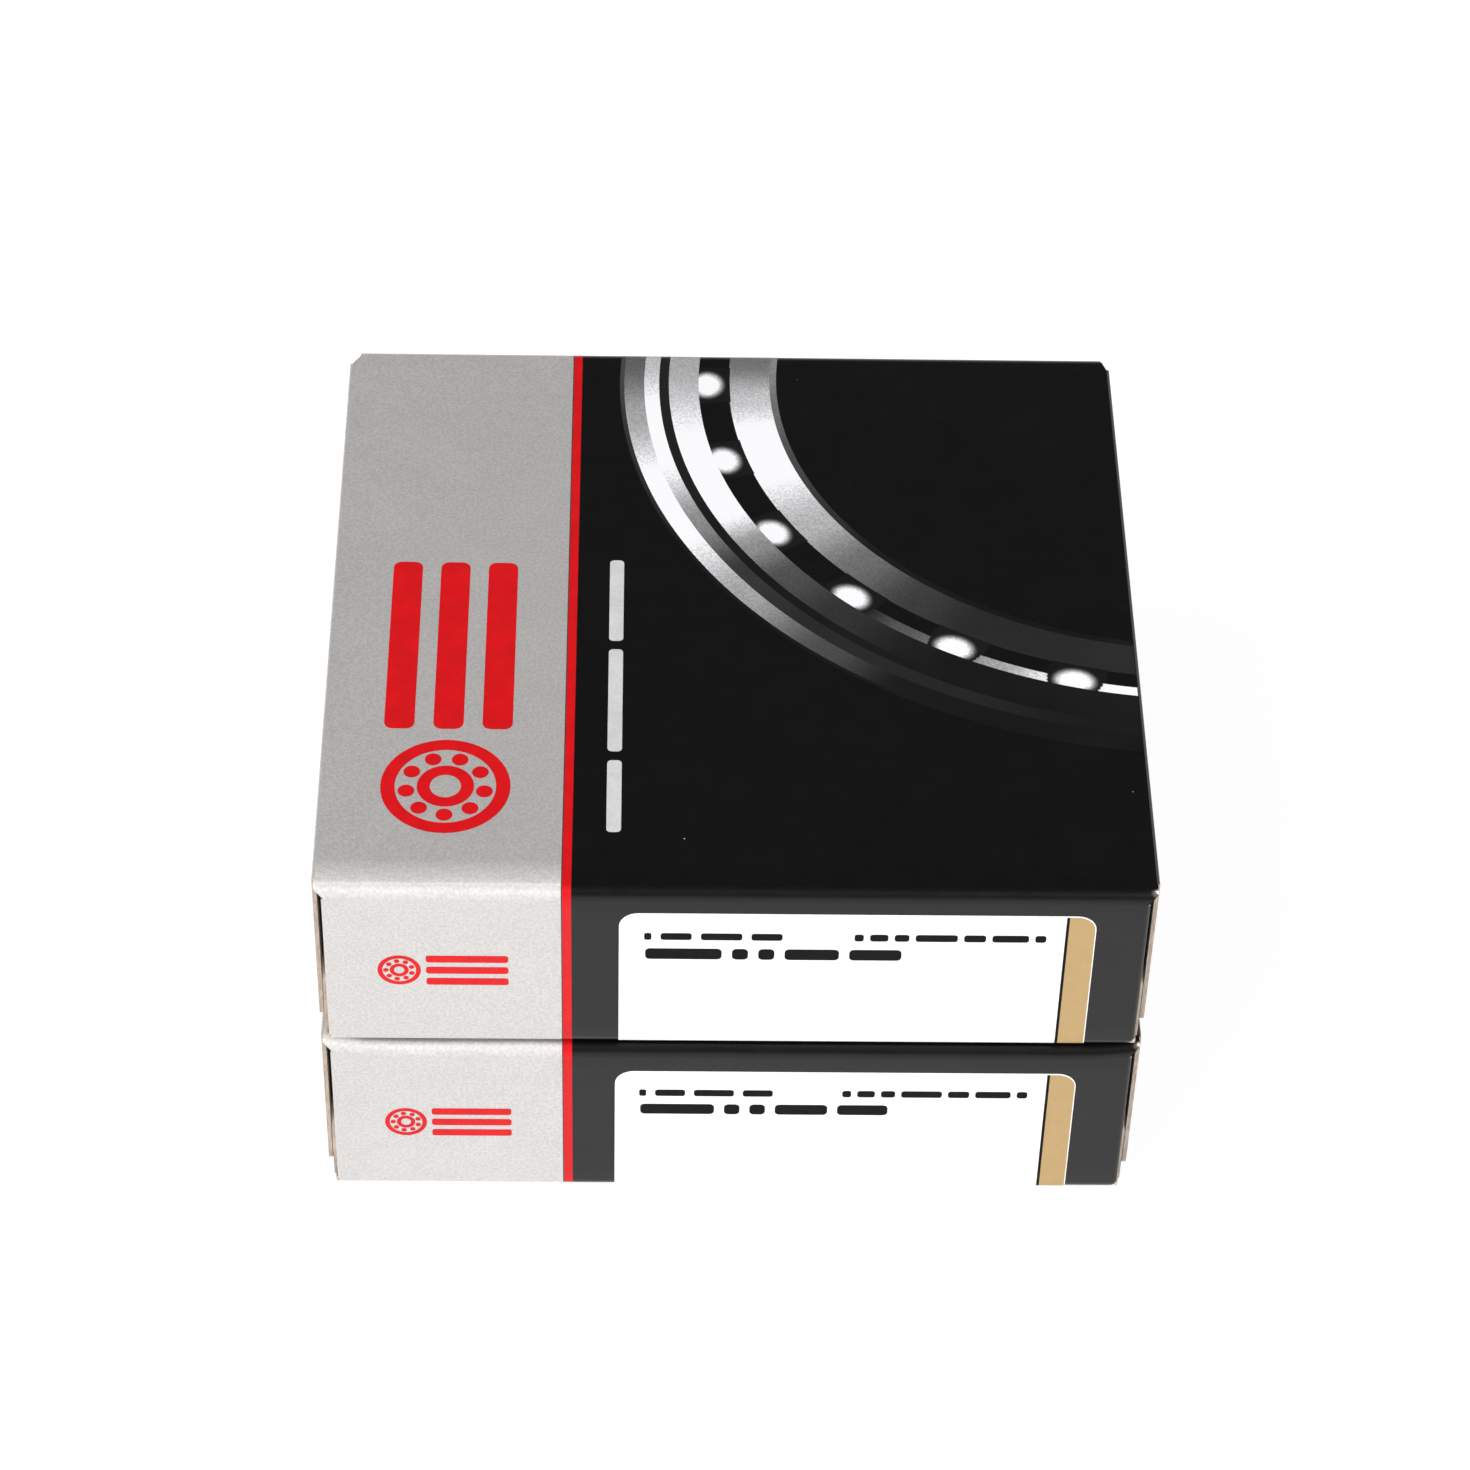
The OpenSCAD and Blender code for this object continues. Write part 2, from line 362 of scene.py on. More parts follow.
# Dust on the ink: its cells' spacing, a speck's radius, the share of cells that have one, and its strength
DUST_SPACING, DUST_RADIUS, DUST_SHARE, DUST_STRENGTH = 5.0, 0.10, 0.30, 0.6
# The ink is gone where wear and noise together pass the first pair, and thinned where wear passes the second
WORN_FROM, WORN_TO = 0.93, 1.05
THIN_FROM, THIN_TO, THIN_MOST = 0.20, 0.42, 0.13


def ink(name, colour, metal=0.0, rough=0.38, mottled=0.05, grain=0.05, painted_fold_light=0.0, gloss=0.36):
    """Ink on coated board with a slight mottle. A highlight is painted where the fold attribute is above
    zero and shade is painted where it is below, and the ink is cracked to bare paper where the wear
    attribute is high."""
    s = Shader(name)
    mottle = s.ramp(s.noise(2.2, 3), 0.35, 0.65, 1 - mottled, 1 + mottled)
    fine = s.ramp(s.noise(0.25, 2), 0.3, 0.7, 1 - grain, 1 + grain)
    shade = s.math("MULTIPLY", mottle, fine)
    # Painted highlight along the folds and painted shade on a pressed fold, from the fold attribute
    if painted_fold_light:
        painted_fold_factor = s.math("MULTIPLY_ADD", s.attribute("fold"), painted_fold_light)
        painted_fold_factor.node.inputs[2].default_value = 1.0
        shade = s.math("MULTIPLY", shade, painted_fold_factor)
    toned = s.nodes.new("ShaderNodeVectorMath")
    toned.operation = "SCALE"
    toned.inputs[0].default_value = colour
    s.links.new(shade, toned.inputs["Scale"])
    rubbed = s.math("MULTIPLY_ADD", s.noise(0.45, 4, rough=0.7), 0.9)
    s.links.new(s.attribute("wear"), rubbed.node.inputs[2])
    worn = s.ramp(rubbed, WORN_FROM, WORN_TO)
    dust = s.math("MULTIPLY", s.specks(DUST_SPACING, DUST_RADIUS, DUST_SHARE), DUST_STRENGTH)
    thin = s.ramp(s.attribute("wear"), THIN_FROM, THIN_TO, 0, THIN_MOST)
    faded = s.mix(s.math("MAXIMUM", worn, thin), toned.outputs[0], PAPER)
    s.set("Base Color", s.mix(dust, faded, PAPER))
    s.set("Roughness", s.ramp(s.noise(6, 2), 0.3, 0.7, rough - 0.015, rough + 0.015))
    if metal:
        s.set("Metallic", s.ramp(worn, 0, 1, metal, 0))
    s.set("Specular IOR Level", gloss)
    s.bump((s.noise(0.35, 2), 0.0025), (s.noise(3.5, 2), 0.006))
    return s.material


def drawing_ink():
    """Black ink that fades to white with the tone attribute, in a fine halftone."""
    s = Shader("drawing_ink")
    tone = s.attribute("tone")
    grain = s.ramp(s.noise(0.17, 1), 0.25, 0.75, 0.78, 1.22)
    clear = s.ramp(tone, 0.75, 0.95)
    steady = s.math("MAXIMUM", grain, clear)
    s.set("Base Color", s.mix(s.math("MULTIPLY", tone, steady), BLACK, DRAWING_WHITE))
    s.set("Roughness", s.ramp(s.noise(6, 2), 0.3, 0.7, 0.34, 0.43))
    s.bump((s.noise(0.35, 2), 0.0025))
    return s.material


def raw_board(name, colour, stretch, contrast):
    """Uncoated paperboard: matted fibres in two shades."""
    s = Shader(name)
    fibres = s.noise(0.22, 4, stretch, 0.65)
    flecks = s.ramp(s.noise(0.5, 3), 0.60, 0.72)
    dark = tuple(c * (1 - contrast) for c in colour)
    light = tuple(min(1, c * (1 + contrast)) for c in colour)
    base = s.mix(s.ramp(fibres, 0.3, 0.7), dark, light)
    s.set("Base Color", s.mix(s.math("MULTIPLY", flecks, 0.35), base, tuple(c * 0.6 for c in colour)))
    s.set("Roughness", s.ramp(fibres, 0.3, 0.7, 0.82, 0.95))
    s.set("Specular IOR Level", 0.2)
    s.bump((fibres, 0.02))
    return s.material


def label_paper(name, colour, rough, gloss=0.4):
    """Smooth label stock, printed or blank."""
    s = Shader(name)
    cloud = s.ramp(s.noise(1.3, 3), 0.3, 0.7)
    fine = s.ramp(s.noise(0.14, 1), 0.35, 0.65)
    dimmer = tuple(c * 0.93 for c in colour)
    base = s.mix(s.math("MULTIPLY", cloud, 0.6), colour, dimmer)
    s.set("Base Color", s.mix(s.math("MULTIPLY", fine, 0.4), base, dimmer))
    s.set("Roughness", s.ramp(cloud, 0, 1, rough, rough + 0.1))
    s.set("Specular IOR Level", gloss)
    s.bump((s.noise(0.3, 2), 0.0015))
    return s.material


def ground_steel():
    """Hardened steel with fine grinding lines round the axis."""
    s = Shader("bearing_steel")
    lines = s.turned(0.22, 3, 0.65)
    s.set("Base Color", s.mix(s.ramp(lines, 0.3, 0.7), STEEL_DARK, STEEL_LIGHT))
    s.set("Metallic", 1.0)
    s.set("Roughness", s.ramp(lines, 0.3, 0.7, 0.22, 0.34))
    s.bump((lines, 0.003))
    return s.material


def polished_steel():
    """Lapped balls under a thin film of oil."""
    s = Shader("ball_steel")
    film = s.noise(1.5, 3)
    s.set("Base Color", s.mix(s.ramp(film, 0.3, 0.7), BALL_DARK, BALL_LIGHT))
    s.set("Metallic", 1.0)
    s.set("Roughness", s.ramp(film, 0.3, 0.7, 0.05, 0.10))
    s.bump((s.noise(0.3, 1), 0.0004))
    return s.material


def cage_laminate():
    """Cotton cloth in brown resin, with the weave showing through."""
    s = Shader("cage_laminate")
    warp = s.noise(0.35, 1, (1, 1, 0.12))
    weft = s.noise(0.35, 1, (0.12, 0.12, 1))
    weave = s.math("MULTIPLY", s.ramp(warp, 0.35, 0.65), s.ramp(weft, 0.35, 0.65))
    s.set("Base Color", s.mix(weave, RESIN, COTTON))
    s.set("Roughness", s.ramp(weave, 0, 1, 0.42, 0.60))
    s.bump((weave, 0.02))
    return s.material


def make_materials():
    """All finishes, by the names that the pieces ask for."""
    return {
        # The silver ink carries the painted fold highlight and painted shade
        "silver": ink(
            "silver_ink", SILVER, metal=0.52, rough=0.55, mottled=0.010, grain=0.09, painted_fold_light=0.50
        ),
        "black": ink("black_ink", BLACK, rough=0.30, mottled=0.10, grain=0.30),
        "red": ink("red_ink", RED, rough=0.40, grain=0.03, gloss=0.20),
        "line": ink("line_ink", LINE, rough=0.40),
        "white": ink("white_ink", WHITE_INK, rough=0.45),
        "drawing": drawing_ink(),
        "inside": raw_board("board_inside", RAW_BOARD, (0.3, 1, 1), 0.12),
        "edge": raw_board("board_edge", EDGE_BOARD, (1, 0.2, 0.2), 0.22),
        "label": label_paper("label_paper", LABEL_WHITE, 0.5),
        "label_gold": label_paper("label_gold", LABEL_GOLD, 0.45),
        "label_black": label_paper("label_black", LABEL_BLACK, 0.6, 0.06),
        "steel": ground_steel(),
        "ball": polished_steel(),
        "cage": cage_laminate(),
    }


# -------------------- mesh helpers

# Edges between faces that turn by more than this many degrees are shown crisp
SHARP_ANGLE = 34
CORNER_STEPS = 8
SMALL_CORNER_STEPS = 4
DISC_STEPS = 16
RING_STEPS = 48
# Flat shapes and the sleeve are divided along lines this far apart, so that they can follow a sagging panel
GRID = 3.0
CUT_TOLERANCE = 1e-5


def smoothstep(low, high, value):
    """0 below low, 1 above high, and a smooth rise between them."""
    t = min(1.0, max(0.0, (value - low) / (high - low)))
    return t * t * (3 - 2 * t)


def finish_mesh(bm, name, materials):
    """Turns a bmesh into a shown object with smooth faces and crisp edges."""
    mesh = bpy.data.meshes.new(name)
    bm.to_mesh(mesh)
    bm.free()
    for material in materials:
        mesh.materials.append(material)
    mesh.polygons.foreach_set("use_smooth", [True] * len(mesh.polygons))
    mesh.set_sharp_from_angle(angle=math.radians(SHARP_ANGLE))
    piece = bpy.data.objects.new(name, mesh)
    bpy.context.scene.collection.objects.link(piece)
    return piece


def along_axis(axis, value):
    """A point on one axis."""
    point = [0, 0, 0]
    point[axis] = value
    return point


def cut_at(bm, axis, places):
    """Cuts every face along planes square to one axis."""
    for value in places:
        bmesh.ops.bisect_plane(
            bm,
            geom=bm.verts[:] + bm.edges[:] + bm.faces[:],
            plane_co=along_axis(axis, value),
            plane_no=along_axis(axis, 1),
            dist=CUT_TOLERANCE,
        )


def trim_beyond(bm, axis, limit):
    """Cuts off what lies beyond a plane square to one axis."""
    bmesh.ops.bisect_plane(
        bm,
        geom=bm.verts[:] + bm.edges[:] + bm.faces[:],
        plane_co=along_axis(axis, limit),
        plane_no=along_axis(axis, 1),
        clear_outer=True,
    )


def grid_lines(bm, axis, step):
    """Multiples of a step that lie within the mesh along one axis."""
    values = [v.co[axis] for v in bm.verts]
    first = math.ceil(min(values) / step)
    last = math.floor(max(values) / step)
    return [i * step for i in range(first, last + 1)]


def rounded_box(u0, v0, u1, v1, radii, steps=CORNER_STEPS):
    """Outline of a rectangle, counterclockwise from the lower left, with a radius for each corner."""
    corners = [(u0, v0, 1, 1, 180), (u1, v0, -1, 1, 270), (u1, v1, -1, -1, 0), (u0, v1, 1, -1, 90)]
    outline = []
    for (u, v, du, dv, start), radius in zip(corners, radii):
        if radius == 0:
            outline.append((u, v))
            continue
        for i in range(steps + 1):
            angle = math.radians(start + 90 * i / steps)
            outline.append(
                (u + du * radius + radius * math.cos(angle), v + dv * radius + radius * math.sin(angle))
            )
    return outline


def disc(u, v, radius):
    """Outline of a circle."""
    turn = 2 * math.pi / DISC_STEPS
    return [(u + radius * math.cos(i * turn), v + radius * math.sin(i * turn)) for i in range(DISC_STEPS)]


# -------------------- panels and what is printed on them

# Places across the print, from the carton's middle: silver, then a thin dark line, the red stripe and black
LINE_LEFT = -15.25
STRIPE_LEFT = -15.13
STRIPE_RIGHT = -14.36
# The sleeve's material slots, in their order
SLEEVE_SLOTS = ("silver", "black", "red", "line", "inside", "edge")
SILVER_SLOT, BLACK_SLOT, RED_SLOT, LINE_SLOT, INSIDE_SLOT, EDGE_SLOT = range(6)
# How far flat print stands off its panel
INK_LIFT = 0.012
DRAWING_LIFT, BALL_LIFT = 0.008, 0.014
LABEL_LIFT, LABEL_PRINT_LIFT = 0.045, 0.054
# A highlight is painted into the silver ink along the top front fold: at how many degrees round it, how
# widely and how much
CREST_ANGLE, CREST_SPREAD, PAINTED_CREST_HIGHLIGHT = 98, 12, 1.4
# How strongly a highlight is painted along every fold of the silver ink
PAINTED_FOLD_HIGHLIGHT = 0.3
# How much of the painted highlight on the top front fold goes for each millimetre that the fold is pressed
# down.
# Where more than all of it goes, shade is painted on the fold, for the groove under the carton above
PRESSED_CREST = 3.0
# Each corner of a fold has a bare spot: how far round the fold, how far it reaches both ways, and its width
SPOT_PLACE, SPOT_REACH, SPOT_WIDTH, SPOT_WEAR = 0.30, 0.28, 0.50, 0.62
FOLD_WEAR = 0.14
END_WEAR, END_WEAR_REACH = 0.10, 0.12


def sag(panel, across, along, half_across, half_along):
    """How far a panel lies below its flat plane at a point: nothing at its folds, most in its middle."""
    window = max(0.0, 1 - (across / half_across) ** 2) * max(0.0, 1 - (along / half_along) ** 2)
    wave = noise.noise(Vector((across * WAVE_RATE, along * WAVE_RATE, 3.0 + len(panel))))
    return window * (PANEL_SAG[panel] + PANEL_WAVE * wave)


def pressed(carton, station, x):
    """How far the top front fold is pressed down at a point of the board."""
    behind = smoothstep(*PRESS_REAR, station.y + carton.half_depth)
    above = smoothstep(carton.top - PRESS_DOWN, carton.top - FOLD_RADIUS, station.z)
    inward = smoothstep(0.0, PRESS_END, station.end - abs(x))
    return PRESSED_FOLD[carton.name] * behind * above * inward


def on_top(carton):
    """Maps x, y and a lift to a point on the sagging top panel."""

    def place(x, y, lift):
        drop = sag("top", x, y, carton.wall_end, carton.half_depth - FOLD_RADIUS)
        return Vector((x, y, carton.top - SKIN - drop + lift)) * MM

    return place


def on_front(carton):
    """Maps x, a height above the carton's base and a lift to a point on the front panel. Below the panel's
    flat part the point follows the bottom fold round."""
    middle = carton.height / 2
    front = -carton.half_depth + SKIN

    def place(x, z, lift):
        turn = max(0.0, FOLD_RADIUS - z) / FOLD_RADIUS
        if turn > 0:
            radius = FOLD_RADIUS + lift
            y = front + FOLD_RADIUS - radius * math.cos(turn)
            height = FOLD_RADIUS - radius * math.sin(turn)
            return Vector((x, y, carton.base + height)) * MM
        drop = sag("front", x, z - middle, carton.wall_end, middle - FOLD_RADIUS)
        return Vector((x, front + drop - lift, carton.base + z)) * MM

    return place


def lay_print(name, outlines, place, lift, materials, skirt=False, rows=()):
    """Flat shapes laid on a panel. Each outline is (points, material index). A skirt closes the edge down to
    the panel, and rows are extra lines along which the shapes are divided."""
    bm = bmesh.new()
    for points, index in outlines:
        face = bm.faces.new([bm.verts.new((u, v, lift)) for u, v in points])
        face.material_index = index
    cut_at(bm, 0, grid_lines(bm, 0, GRID))
    cut_at(bm, 1, grid_lines(bm, 1, GRID) + list(rows))
    if skirt:
        rim = [e for e in bm.edges if e.is_boundary]
        made = bmesh.ops.extrude_edge_only(bm, edges=rim)["geom"]
        for v in made:
            if isinstance(v, bmesh.types.BMVert):
                v.co.z = 0
        bmesh.ops.recalc_face_normals(bm, faces=bm.faces[:])
    face_out(bm)
    for v in bm.verts:
        v.co = place(*v.co)
    return finish_mesh(bm, name, materials)


def face_out(bm):
    """Turns flat print faces so that they look away from the panel."""
    bm.normal_update()
    for face in bm.faces:
        if face.normal.z < -0.5:
            face.normal_flip()


def board_path(carton):
    """Stations round the board from the rear panel's cut edge, over the top, down the front, along the floor
    and up the glue tab. Each has a point, an outward normal, the half width there and its panel, how much it
    is part of a fold and a corner, the highlight painted on the top front fold, and how much the left end is
    trimmed."""
    depth = carton.half_depth - SKIN
    top = carton.top - SKIN
    base = carton.base
    r = FOLD_RADIUS
    tab = depth - carton.board - TAB_GAP
    stations = []

    def add(y, z, angle, end, panel="", fold=0.0, tip=0.0, trim=0.0):
        """One station whose board faces that many degrees up from the rear."""
        turn = math.radians(angle)
        # Painted highlight along the top front fold, on the front of the board only
        at_crest = y < 0 and not panel
        crest_highlight = PAINTED_CREST_HIGHLIGHT * math.exp(-(((angle - CREST_ANGLE) / CREST_SPREAD) ** 2)) if at_crest else 0.0
        stations.append(
            SimpleNamespace(
                y=y, z=z, ny=math.cos(turn), nz=math.sin(turn), end=end, panel=panel, fold=fold, tip=tip,
                crest_highlight=crest_highlight, trim=trim,
            )
        )

    def run(start, stop, angle, end, panel, steps):
        """Stations along a flat panel, without its two ends."""
        for i in range(1, steps):
            t = i / steps
            y = start[0] + (stop[0] - start[0]) * t
            z = start[1] + (stop[1] - start[1]) * t
            add(y, z, angle, end, panel)

    def bend(y, z, first, ends, window=FOLD_NARROWING):
        """A quarter turn about a point. Within the window the half width goes from one end to the other."""
        for i in range(FOLD_STEPS + 1):
            t = i / FOLD_STEPS
            turn = math.radians(first + 90 * t)
            end = ends[0] + (ends[1] - ends[0]) * smoothstep(*window, t)
            fold = math.sin(math.pi * t)
            tip = max(0.0, 1 - abs(t - SPOT_PLACE) / SPOT_REACH)
            add(y + r * math.cos(turn), z + r * math.sin(turn), first + 90 * t, end, "", fold, tip)

    def rounded(rise, end="right"):
        """Half width at the rounded rear corner, from the fold's crown at 0 to the rounding's front at 1."""
        return over - REAR_ROUNDING[end] * (1 - rise) ** 1.4

    def trimmed(rise):
        """How much narrower the left end is than the right one at the rounded rear corner."""
        return rounded(rise) - rounded(rise, "left")

    wall, over, under = carton.wall_end, carton.top_end, carton.floor_end
    edge, tab_end = base + REAR_EDGE_GAP, wall - TAB_INSET
    add(depth, edge, 0, wall, "rear")
    run((depth, edge), (depth, top - r), 0, wall, "rear", 8)
    bend(depth - r, top - r, 0, (wall, rounded(0)))
    for station in stations[-(FOLD_STEPS // 2) :]:
        rise = r - (station.y - depth + r + station.z - top + r) / math.sqrt(2)
        station.end = rounded(rise)
        station.trim = trimmed(rise)
    for i in range(5):
        rise = 0.28 + 0.18 * i
        add(depth - r - REAR_ROUNDING_RUN * i / 4, top, 90, rounded(rise), "top", trim=trimmed(rise))
    run((depth - r - REAR_ROUNDING_RUN, top), (-depth + r, top), 90, over, "top", 26)
    bend(-depth + r, top - r, 90, (over, wall), TOP_FRONT_NARROWING)
    run((-depth, top - r), (-depth, base + r), 180, wall, "front", 9)
    bend(-depth + r, base + r, 180, (wall, under))
    run((-depth + r, base), (tab - r, base), 270, under, "floor", 22)
    bend(tab - r, base + r, 270, (under, tab_end))
    run((tab, base + r), (tab, base + GLUE_TAB_HEIGHT), 0, tab_end, "tab", 5)
    add(tab, base + GLUE_TAB_HEIGHT, 0, tab_end, "tab")
    return stations


def board_columns(end, trim):
    """Places across the board where it is divided: the print's edges, an even grid, and more near the ends.
    The left end is trimmed a little more than the right one."""
    even = [GRID * i for i in range(-11, 12)]
    inner = sorted(even + [LINE_LEFT, STRIPE_LEFT, STRIPE_RIGHT])
    rims = [0.0, 0.15, 0.4, 0.9, 1.5]
    return [trim - end + d for d in rims] + inner + [end - d for d in reversed(rims)]


def ink_at(x):
    """Material slot of the print at a place across the carton."""
    if x < LINE_LEFT:
        return SILVER_SLOT
    if x < STRIPE_LEFT:
        return LINE_SLOT
    if x < STRIPE_RIGHT:
        return RED_SLOT
    return BLACK_SLOT


def board_wear(station, x):
    """Wear of the ink: a little along the folds and at the cut ends, and a bare spot at each corner."""
    to_end = station.end - abs(x)
    end = math.exp(-to_end / END_WEAR_REACH)
    spot = math.exp(-((to_end / SPOT_WIDTH) ** 2)) * station.tip
    return FOLD_WEAR * station.fold + END_WEAR * end + SPOT_WEAR * spot


def make_board(carton, materials):
    """The carton's printed sleeve as one folded strip of board."""
    bm = bmesh.new()
    wear = bm.verts.layers.float.new("wear")
    # The fold attribute holds painted highlight and painted shade for the ink
    fold = bm.verts.layers.float.new("fold")
    half_z = carton.height / 2
    outer, inner = [], []
    for s in board_path(carton):
        outer_row, inner_row = [], []
        for x in board_columns(s.end, s.trim):
            drop = 0.0
            if s.panel == "top":
                drop = sag("top", x, s.y, carton.wall_end, carton.half_depth - FOLD_RADIUS)
            elif s.panel in ("front", "rear"):
                drop = sag(s.panel, x, s.z - carton.base - half_z, carton.wall_end, half_z - FOLD_RADIUS)
            press = pressed(carton, s, x)
            for row, depth in ((outer_row, drop), (inner_row, drop + carton.board)):
                vert = bm.verts.new(Vector((x, s.y - s.ny * depth, s.z - s.nz * depth - press)) * MM)
                vert[wear] = board_wear(s, x) if row is outer_row else 0.0
                # Painted highlight along the folds and on the top front fold; where that fold is pressed
                # down, painted shade for the groove under the carton above
                vert[fold] = PAINTED_FOLD_HIGHLIGHT * s.fold**2 + s.crest_highlight * (1 - PRESSED_CREST * press)
                row.append(vert)
        outer.append(outer_row)
        inner.append(inner_row)

    def quad(a, b, c, d, slot):
        bm.faces.new((a, b, c, d)).material_index = slot

    last = len(outer[0]) - 1
    for i in range(len(outer) - 1):
        for j in range(last):
            middle = (outer[i][j].co.x + outer[i][j + 1].co.x) / 2 / MM
            quad(outer[i][j], outer[i][j + 1], outer[i + 1][j + 1], outer[i + 1][j], ink_at(middle))
            quad(inner[i][j], inner[i + 1][j], inner[i + 1][j + 1], inner[i][j + 1], INSIDE_SLOT)
        for j in (0, last):
            quad(outer[i][j], inner[i][j], inner[i + 1][j], outer[i + 1][j], EDGE_SLOT)
    for i in (0, len(outer) - 1):
        for j in range(last):
            quad(outer[i][j], outer[i][j + 1], inner[i][j + 1], inner[i][j], EDGE_SLOT)
    bmesh.ops.recalc_face_normals(bm, faces=bm.faces[:])
    slots = [materials[key] for key in SLEEVE_SLOTS]
    piece = finish_mesh(bm, f"{carton.name}_printed_board", slots)
    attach(piece, carton.body)
    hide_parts(f"{carton.name}_sleeve")


# -------------------- red mark, caption and label lines

# Sizes within the mark, as shares of its height
EMBLEM_RINGS = ((0.50, 0.39), (0.22, 0.12))
EMBLEM_BALLS, EMBLEM_PITCH, EMBLEM_BALL = 9, 0.305, 0.065
EMBLEM_STRIPE, EMBLEM_STRIPE_START = 0.235, 1.12
# The corner of a stripe or of a bar of print, as a share of its height
EMBLEM_STRIPE_CORNER = 0.28
WORD_CORNER = 0.3


def ring(u, v, outside, inside):
    """A flat ring as quads."""
    quads = []
    for i in range(RING_STEPS):
        a, b = (2 * math.pi * k / RING_STEPS for k in (i, i + 1))
        corners = ((outside, a), (outside, b), (inside, b), (inside, a))
        quads.append([(u + r * math.cos(t), v + r * math.sin(t)) for r, t in corners])
    return quads


def emblem(length, height):
    """A generic mark: a ball bearing seen from the front, then three plain stripes."""
    middle = height / 2
    pitch = EMBLEM_PITCH * height
    shapes = []
    for outside, inside in EMBLEM_RINGS:
        shapes += ring(middle, middle, outside * height, inside * height)
    for i in range(EMBLEM_BALLS):
        turn = 2 * math.pi * (i + 0.5) / EMBLEM_BALLS
        u = middle + pitch * math.cos(turn)
        v = middle + pitch * math.sin(turn)
        shapes.append(disc(u, v, EMBLEM_BALL * height))
    stripe = EMBLEM_STRIPE * height
    gap = (height - 3 * stripe) / 2
    radii = [stripe * EMBLEM_STRIPE_CORNER] * 4
    for i in range(3):
        low = i * (stripe + gap)
        start = EMBLEM_STRIPE_START * height
        shapes.append(rounded_box(start, low, length, low + stripe, radii, SMALL_CORNER_STEPS))
    return shapes


def words(u0, u1, v0, v1, shares, gap):
    """A line of print as plain bars, one for each word, whose widths are in the given shares."""
    unit = (u1 - u0 - gap * (len(shares) - 1)) / sum(shares)
    bars, start = [], u0
    for share in shares:
        stop = start + share * unit
        radius = min(v1 - v0, stop - start) * WORD_CORNER
        bars.append(rounded_box(start, v0, stop, v1, [radius] * 4, SMALL_CORNER_STEPS))
        start = stop + gap
    return bars


# Places of the mark and the caption on the top panel, and of the mark on the front
MARK_LENGTH, MARK_HEIGHT = 34.7, 11.5
MARK_TOP_RIGHT, MARK_TOP_START = -19.9, -29.0
FRONT_MARK_LEFT, FRONT_MARK_LENGTH = -31.4, 11.5
FRONT_MARK_FOOT = {"upper": 7.9, "lower": 7.35}
CAPTION_LEFT, CAPTION_RIGHT = -11.4, -10.1
CAPTION_START, CAPTION_END = -28.7, 6.2
CAPTION_WORDS, CAPTION_GAP = (9.5, 14, 11.5), 1.1


def make_mark(carton, materials):
    """The red mark, read from the right on the top panel and upright on the front."""
    top = [
        ([(MARK_TOP_RIGHT - v, MARK_TOP_START + u) for u, v in shape], 0)
        for shape in emblem(MARK_LENGTH, MARK_HEIGHT)
    ]
    front_height = FRONT_MARK_LENGTH * MARK_HEIGHT / MARK_LENGTH
    foot = FRONT_MARK_FOOT[carton.name]
    front = [
        ([(FRONT_MARK_LEFT + u, foot + v) for u, v in shape], 0)
        for shape in emblem(FRONT_MARK_LENGTH, front_height)
    ]
    for name, shapes, place in (("top", top, on_top(carton)), ("front", front, on_front(carton))):
        piece = lay_print(f"{carton.name}_{name}_mark", shapes, place, INK_LIFT, [materials["red"]])
        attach(piece, carton.body)


def make_caption(carton, materials):
    """The line of small white print beside the stripe, as plain bars."""
    bars = words(CAPTION_START, CAPTION_END, CAPTION_LEFT, CAPTION_RIGHT, CAPTION_WORDS, CAPTION_GAP)
    shapes = [([(v, u) for u, v in bar], 0) for bar in bars]
    piece = lay_print(f"{carton.name}_caption", shapes, on_top(carton), INK_LIFT, [materials["white"]])
    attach(piece, carton.body)


# The gold band's two sides, from the label's right edge, the gap above it and the dark line at its left
GOLD_FROM_RIGHT = (0.09, 2.40)
GOLD_BELOW_TOP = 0.12
GOLD_LINE = 0.26
LABEL_CORNER = 1.7
# The label's lower edge, on the developed front panel: it goes round most of the bottom fold
LABEL_FOOT = -0.25
GOLD_CORNER = LABEL_CORNER - 0.1
# The extra rows at which the label is divided, so that it bends round the fold
LABEL_ROWS, LABEL_ROW_GAP = 8, 0.2
# The label's lines of print: a line's two edges from the label's top edge, its start and end from the left
# edge, the shares of its words, and the gap between them
LABEL_LINES = (
    ((3.40, 2.50), (2.2, 14.3), (0.7, 3, 4, 3), 0.8),
    ((3.40, 2.50), (20.6, 37.4), (1, 2, 1.6, 4.6, 2.4, 4, 1.2), 0.55),
    ((5.90, 4.50), (2.3, 24.8), (7.6, 1.6, 1.6, 5.4, 5.2), 0.9),
)


